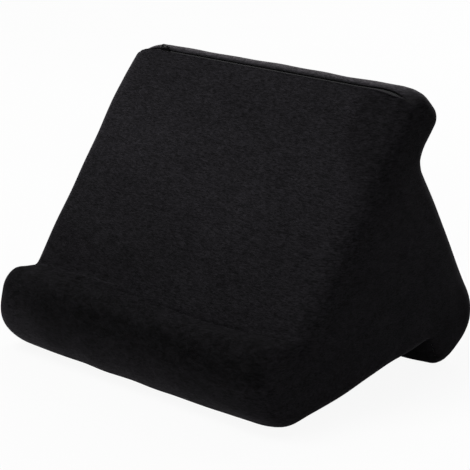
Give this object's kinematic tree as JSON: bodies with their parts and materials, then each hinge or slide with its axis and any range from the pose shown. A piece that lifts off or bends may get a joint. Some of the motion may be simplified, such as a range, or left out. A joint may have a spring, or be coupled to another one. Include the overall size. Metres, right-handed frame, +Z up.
{
  "type": "tablet cushion stand",
  "caption": "Soft wedge-shaped stand that holds a tablet against any of three sloping faces, each with a rounded ledge.",
  "frame": {"origin": "on the surface under the middle of the stand: the bottom centre of its box, with the stand on its front lobe and heel", "axes": "+X along the ledge towards the right end as seen from the front, +Y to the rear, +Z up"},
  "size_m": [0.28, 0.2468, 0.2236],
  "materials": {
    "plush": "short-pile black velour with a soft sheen",
    "foam": "open-cell polyurethane foam",
    "zip_tape": "black woven polyester tape",
    "zip_coil": "black nylon coil",
    "zip_slider": "black enamelled zinc casting"
  },
  "bodies": {
    "cushion": {"foam_core": "foam", "front_face_panel": "plush", "lip_base_panel": "plush", "heel_back_panel": "plush", "crest_panel": "plush", "end_panel_left": "plush", "end_panel_right": "plush", "zip_tape_front": "zip_tape", "zip_tape_rear": "zip_tape", "zip_coil_front": "zip_coil", "zip_coil_rear": "zip_coil"},
    "slider": {"zip_slider": "zip_slider"}
  },
  "joints": [
    {"name": "zip_travel", "type": "slide", "parent": "cushion", "child": "slider", "axis": [1, 0, 0], "range_m": [0, 0.218]}
  ]
}
